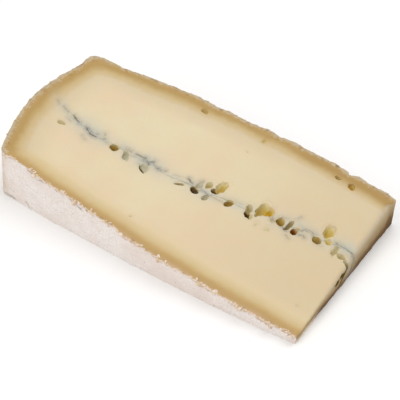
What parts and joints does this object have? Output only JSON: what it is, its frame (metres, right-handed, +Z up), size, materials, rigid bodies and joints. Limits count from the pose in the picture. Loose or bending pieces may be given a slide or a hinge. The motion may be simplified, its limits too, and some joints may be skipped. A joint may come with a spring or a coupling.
{
  "type": "morbier cheese wedge",
  "caption": "Wedge of semi-soft cow's milk cheese lying on one cut face, with a thin tan rind, a line of ash through the paste, and gas holes along it.",
  "frame": {"origin": "on the floor, under the middle of the wedge's box", "axes": "+X from the heel's rind towards the cut-off tip, +Y across the wheel towards the thick side, +Z up from the lower knife cut"},
  "size_m": [0.1569, 0.0813, 0.0341],
  "materials": {
    "paste": "moist ivory cheese paste with a dry pinkish tan rind",
    "ash": "fine blue-grey vegetable ash pressed into the curd"
  },
  "bodies": {
    "root": {"paste": "paste", "ash_layer": "ash"}
  },
  "joints": []
}
